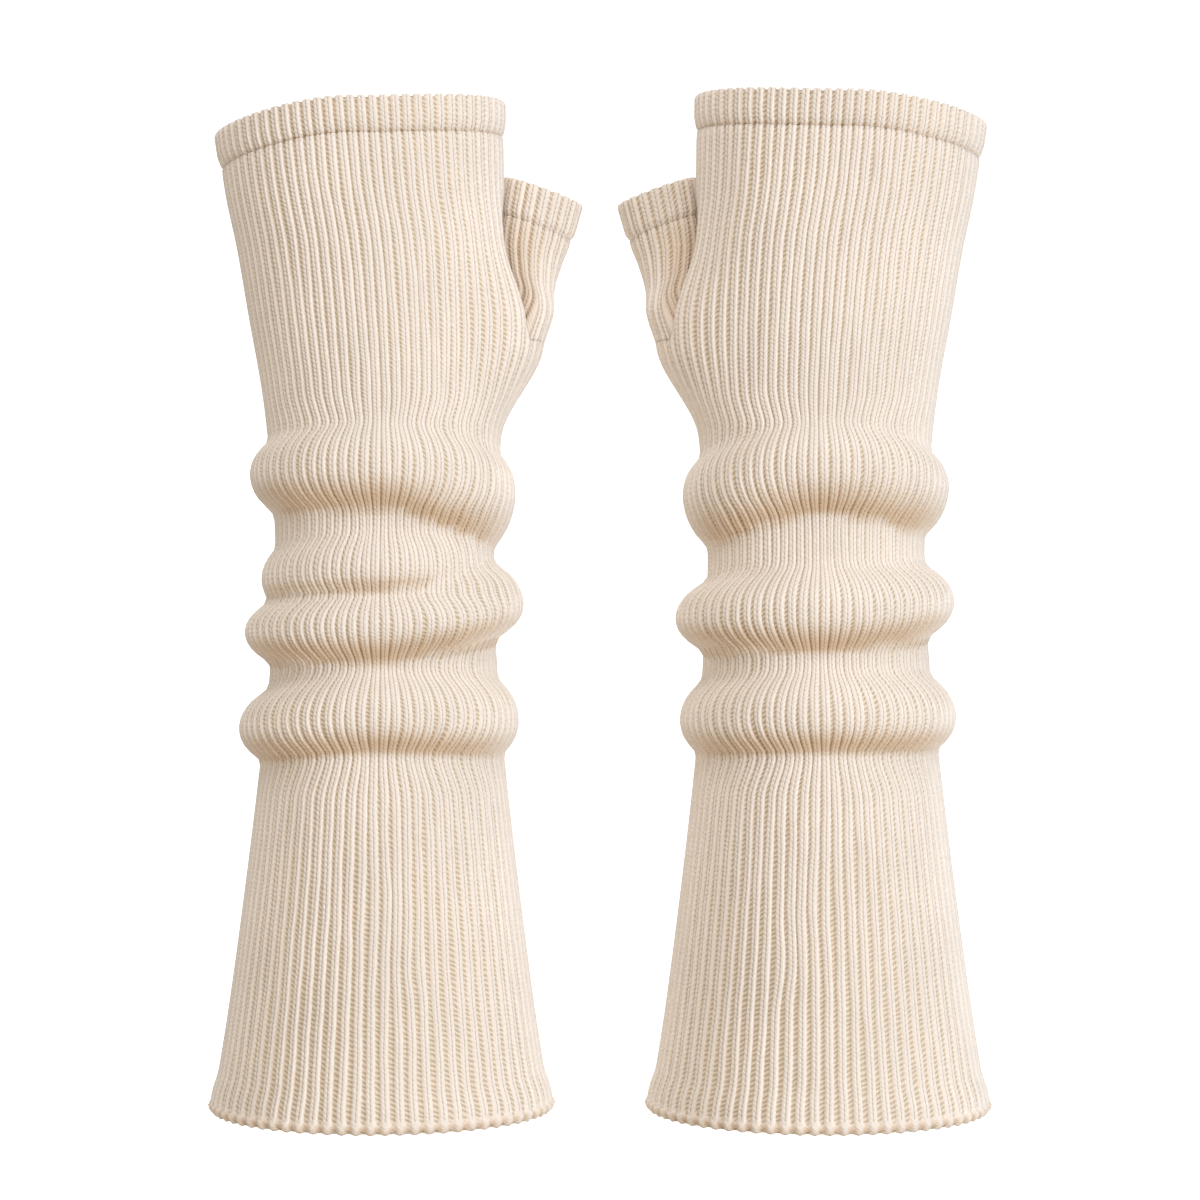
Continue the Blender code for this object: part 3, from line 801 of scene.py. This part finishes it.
    # The purl bars lift the groove's painted shade towards the wale colour, so that the shade lies between
    # them
    bar_light = add_node(
        tree,
        "ShaderNodeMapRange",
        {"From Min": 0.5, "From Max": 1.0, "To Min": 0.0, "To Max": 0.5},
        {"Value": pattern.outputs[0]},
    )
    bar_share = add_node(
        tree,
        math_node,
        {"operation": "MULTIPLY"},
        {0: bar_light.outputs["Result"], 1: in_groove.outputs["Result"]},
    )
    with_bars = add_node(
        tree,
        "ShaderNodeMix",
        {"data_type": "RGBA", 7: (*wale, 1.0)},
        {0: bar_share.outputs[0], 6: tones.outputs["Color"]},
    )
    # Painted shade: a stitch's notch, and the gap between two purl bars, is drawn a little darker than its
    # crown
    notch = add_node(
        tree,
        "ShaderNodeMapRange",
        {"From Min": 0.0, "From Max": 0.6, "To Min": 0.87, "To Max": 1.0},
        {"Value": pattern.outputs[0]},
    )
    # Painted shade: the colours are multiplied by a warm tan where the cloth is marked as shaded, as cloth
    # under a fold, lit only through its neighbours, is
    painted_shade = add_node(tree, "ShaderNodeAttribute", {"attribute_name": "painted_shade"})
    with_painted_shade = add_node(
        tree,
        "ShaderNodeMix",
        {"data_type": "RGBA", "blend_type": "MULTIPLY", 7: (*knit.painted_shade_tint, 1.0)},
        {0: painted_shade.outputs["Fac"], 6: with_bars.outputs[2]},
    )
    drift_value = add_node(
        tree,
        "ShaderNodeMapRange",
        {"From Min": 0.3, "From Max": 0.7, "To Min": 0.965, "To Max": 1.03},
        {"Value": drift.outputs["Fac"]},
    )
    tone = add_node(
        tree,
        math_node,
        {"operation": "MULTIPLY"},
        {0: drift_value.outputs["Result"], 1: notch.outputs["Result"]},
    )
    toned = add_node(
        tree,
        "ShaderNodeVectorMath",
        {"operation": "SCALE"},
        {0: with_painted_shade.outputs[2], "Scale": tone.outputs[0]},
    )
    tree.links.new(toned.outputs["Vector"], shader.inputs["Base Color"])
    relief = add_node(
        tree,
        math_node,
        {"operation": "MULTIPLY_ADD", 1: 0.35},
        {0: fibre.outputs["Fac"], 2: pattern.outputs[0]},
    )
    bump = add_node(
        tree,
        "ShaderNodeBump",
        {"Strength": 0.85, "Distance": STITCH_RELIEF},
        {"Height": relief.outputs[0]},
    )
    tree.links.new(bump.outputs["Normal"], shader.inputs["Normal"])
    shader.inputs["Metallic"].default_value = 0.0
    shader.inputs["IOR"].default_value = 1.5
    shader.inputs["Roughness"].default_value = 0.92
    shader.inputs["Specular IOR Level"].default_value = 0.15
    shader.inputs["Sheen Weight"].default_value = 0.25
    shader.inputs["Sheen Roughness"].default_value = 0.45
    return material


def studio_material(name, colour, glow):
    """Matt white studio paint, lit so evenly that it shows as plain white."""
    material = bpy.data.materials.new(name)
    material.use_nodes = True
    shader = material.node_tree.nodes["Principled BSDF"]
    shader.inputs["Base Color"].default_value = (*colour, 1.0)
    shader.inputs["Roughness"].default_value = 1.0
    shader.inputs["Specular IOR Level"].default_value = 0.0
    shader.inputs["Emission Color"].default_value = (1.0, 1.0, 1.0, 1.0)
    shader.inputs["Emission Strength"].default_value = glow
    return material


def make_stage_sheet(name, line, width, material):
    """A plain sheet of studio floor or backdrop along a line of (y, z) points."""
    bm = bmesh.new()
    bmesh.ops.create_grid(bm, x_segments=1, y_segments=len(line) - 1, size=0.5)
    bm.verts.ensure_lookup_table()
    for k, vert in enumerate(bm.verts):
        vert.co = Vector(((k % 2 - 0.5) * width, *line[k // 2]))
    bmesh.ops.recalc_face_normals(bm, faces=bm.faces)
    mesh = bpy.data.meshes.new(name)
    bm.to_mesh(mesh)
    bm.free()
    mesh.shade_smooth()
    mesh.materials.append(material)
    sheet = bpy.data.objects.new(name, mesh)
    bpy.context.scene.collection.objects.link(sheet)


def make_sweep():
    """A pale floor, and a white backdrop that sweeps up behind it and is lit evenly."""
    stage = bpy.context.scene.arm_warmer_stage
    floor = -stage.floor_drop
    start, bend, high, width, steps = 1.9, 1.0, 3.0, 8.0, 16
    curve = [(start, floor)]
    for k in range(1, steps + 1):
        angle = math.pi / 2 * k / steps
        curve.append((start + bend * math.sin(angle), floor + bend * (1 - math.cos(angle))))
    curve.append((start + bend, high))
    plain = studio_material("matt_pale_studio_paint", linear("#DAD6D0"), 0.0)
    lit = studio_material("matt_white_studio_paint", linear("#F4F3F1"), stage.backdrop_glow)
    # The floor lies just under the foot of the backdrop, and runs in under it
    level = floor - 2 * MM
    make_stage_sheet("pale_floor", [(-3.0, level), (start + 0.2, level)], width, plain)
    make_stage_sheet("white_backdrop", curve, width, lit)


def make_light(name, place, size, power, colour):
    """A round area light aimed at the origin."""
    data = bpy.data.lights.new(name, "AREA")
    data.shape = "DISK"
    data.size = size
    data.energy = power
    data.color = colour
    light = bpy.data.objects.new(name, data)
    light.location = place
    light.rotation_euler = (-Vector(place)).to_track_quat("-Z", "Y").to_euler()
    bpy.context.scene.collection.objects.link(light)


def make_lights():
    """A soft key low on the right, wide softboxes overhead and in front, and even light all round."""
    stage = bpy.context.scene.arm_warmer_stage
    make_light("soft_key", (1.4, -1.15, -0.3), 0.4, stage.key_power, linear("#E6F1FF"))
    make_light("top_softbox", (0.1, -0.95, 1.35), 0.9, stage.top_power, linear("#F3F7FF"))
    make_light("front_softbox", (-0.15, -1.6, 0.05), 0.9, stage.front_power, linear("#FFF3E4"))
    world = bpy.data.worlds.new("white_room")
    world.use_nodes = True
    background = world.node_tree.nodes["Background"]
    background.inputs["Color"].default_value = (*linear("#FFF4E7"), 1.0)
    background.inputs["Strength"].default_value = stage.room_light
    bpy.context.scene.world = world


def make_camera():
    """A level camera straight in front of the pair."""
    stage = bpy.context.scene.arm_warmer_stage
    data = bpy.data.cameras.new("level_camera")
    data.sensor_width = 36.0
    data.lens = stage.lens
    camera = bpy.data.objects.new("level_camera", data)
    camera.location = (0.0, -stage.camera_distance, 0.0)
    camera.rotation_euler = (math.pi / 2, 0.0, 0.0)
    bpy.context.scene.collection.objects.link(camera)
    bpy.context.scene.camera = camera


class ArmWarmerKnit(bpy.types.PropertyGroup):
    """Sizes and colours of the knit."""

    rib_depth: FloatProperty(
        name="Rib Depth",
        description="How far the grooves sink below the wales",
        default=1.2 * MM,
        min=0.0,
        max=1.5 * MM,
        unit="LENGTH",
    )
    course: FloatProperty(
        name="Course",
        description="Height of one row of stitches",
        default=1.55 * MM,
        min=0.5 * MM,
        max=3 * MM,
        unit="LENGTH",
    )
    gather: FloatProperty(
        name="Gather",
        description="How far the ribs crowd to the front between the wrist folds",
        default=0.09,
        min=0.0,
        max=0.2,
        subtype="FACTOR",
    )
    wale_colour: FloatVectorProperty(
        name="Wale Colour",
        description="Colour of the raised stitch columns",
        default=linear("#F8EEE3"),
        min=0.0,
        max=1.0,
        subtype="COLOR",
    )
    # Painted shade: the crease is the same yarn, drawn darker for the shade between the wales
    crease_shade_colour: FloatVectorProperty(
        name="Crease Shade Colour",
        description="Colour of the fine crease between two wales",
        default=linear("#DACAB4"),
        min=0.0,
        max=1.0,
        subtype="COLOR",
    )
    # Painted shade: the groove is the same yarn, drawn tan for the shade in the sunken columns
    groove_shade_colour: FloatVectorProperty(
        name="Groove Shade Colour",
        description="Colour of the sunken stitch columns",
        default=linear("#DCC9AD"),
        min=0.0,
        max=1.0,
        subtype="COLOR",
    )
    # Painted shade: the warm tan multiplied into the knit under folds, inside the walls, at band feet and
    # beside the hand
    painted_shade_tint: FloatVectorProperty(
        name="Painted Shade Tint",
        description="What the colours are multiplied by where cloth is tucked under a fold",
        default=linear("#E2CDB2"),
        min=0.0,
        max=1.0,
        subtype="COLOR",
    )


class ArmWarmerStage(bpy.types.PropertyGroup):
    """Sizes and strengths of the studio."""

    floor_drop: FloatProperty(
        name="Floor Drop",
        description="How far the floor lies below the wrists",
        default=0.9,
        min=0.17,
        unit="LENGTH",
    )
    camera_distance: FloatProperty(
        name="Camera Distance",
        description="Distance from the camera to the plane through both wrists",
        default=0.85,
        min=0.4,
        unit="LENGTH",
    )
    lens: FloatProperty(
        name="Lens",
        description="Focal length on a 36 mm sensor",
        default=79.2,
        min=20.0,
        max=200.0,
        unit="CAMERA",
    )
    key_power: FloatProperty(
        name="Key Power",
        description="Strength of the soft key light",
        default=13.4,
        min=0.0,
        unit="POWER",
    )
    top_power: FloatProperty(
        name="Top Power",
        description="Strength of the softbox overhead",
        default=10.5,
        min=0.0,
        unit="POWER",
    )
    front_power: FloatProperty(
        name="Front Power",
        description="Strength of the softbox beside the camera",
        default=3.7,
        min=0.0,
        unit="POWER",
    )
    room_light: FloatProperty(
        name="Room Light",
        description="Strength of the even light all round",
        default=0.45,
        min=0.0,
    )
    backdrop_glow: FloatProperty(
        name="Backdrop Glow",
        description="How brightly the white backdrop behind the pair is lit",
        default=0.9,
        min=0.0,
    )


class ARMWARMER_OT_sleeves(bpy.types.Operator):
    """Build both ribbed sleeves with their wrist folds and thumb holes."""

    bl_idname = "armwarmer.sleeves"
    bl_label = "Sleeves"

    def execute(self, context):
        for warmer in WARMERS:
            make_sleeve(warmer)
        return {"FINISHED"}


class ARMWARMER_OT_finger_bands(bpy.types.Operator):
    """Build the turned bands at the finger ends."""

    bl_idname = "armwarmer.finger_bands"
    bl_label = "Finger Bands"

    def execute(self, context):
        for warmer in WARMERS:
            make_finger_band(warmer)
        return {"FINISHED"}


class ARMWARMER_OT_thumbs(bpy.types.Operator):
    """Build the ribbed thumbs."""

    bl_idname = "armwarmer.thumbs"
    bl_label = "Thumbs"

    def execute(self, context):
        for warmer in WARMERS:
            make_thumb(warmer)
        return {"FINISHED"}


class ARMWARMER_OT_thumb_bands(bpy.types.Operator):
    """Build the turned bands at the thumbs' tips."""

    bl_idname = "armwarmer.thumb_bands"
    bl_label = "Thumb Bands"

    def execute(self, context):
        for warmer in WARMERS:
            make_thumb_band(warmer)
        return {"FINISHED"}


class ARMWARMER_OT_studio(bpy.types.Operator):
    """Set up the white sweep, the soft lights and the level camera."""

    bl_idname = "armwarmer.studio"
    bl_label = "Studio"

    def execute(self, context):
        make_sweep()
        make_lights()
        make_camera()
        context.scene.view_settings.view_transform = "Standard"
        context.scene.view_settings.look = "None"
        return {"FINISHED"}


class ARMWARMER_PT_panel(bpy.types.Panel):
    """Arm warmer pieces and settings."""

    bl_label = "Arm Warmers"
    bl_idname = "ARMWARMER_PT_panel"
    bl_space_type = "VIEW_3D"
    bl_region_type = "UI"
    bl_category = "Arm Warmers"

    def draw(self, context):
        layout = self.layout
        for settings in (context.scene.arm_warmer_knit, context.scene.arm_warmer_stage):
            box = layout.box()
            for name in settings.__annotations__:
                box.prop(settings, name)
        for operator in OPERATORS:
            layout.operator(operator.bl_idname)


OPERATORS = (
    ARMWARMER_OT_sleeves,
    ARMWARMER_OT_finger_bands,
    ARMWARMER_OT_thumbs,
    ARMWARMER_OT_thumb_bands,
    ARMWARMER_OT_studio,
)
CLASSES = (ArmWarmerKnit, ArmWarmerStage, *OPERATORS, ARMWARMER_PT_panel)


def register():
    for cls in CLASSES:
        bpy.utils.register_class(cls)
    bpy.types.Scene.arm_warmer_knit = PointerProperty(type=ArmWarmerKnit)
    bpy.types.Scene.arm_warmer_stage = PointerProperty(type=ArmWarmerStage)


def unregister():
    del bpy.types.Scene.arm_warmer_stage
    del bpy.types.Scene.arm_warmer_knit
    for cls in reversed(CLASSES):
        bpy.utils.unregister_class(cls)


def main():
    register()
    bpy.ops.armwarmer.sleeves()
    bpy.ops.armwarmer.finger_bands()
    bpy.ops.armwarmer.thumbs()
    bpy.ops.armwarmer.thumb_bands()
    bpy.ops.armwarmer.studio()


if __name__ == "__main__":
    main()
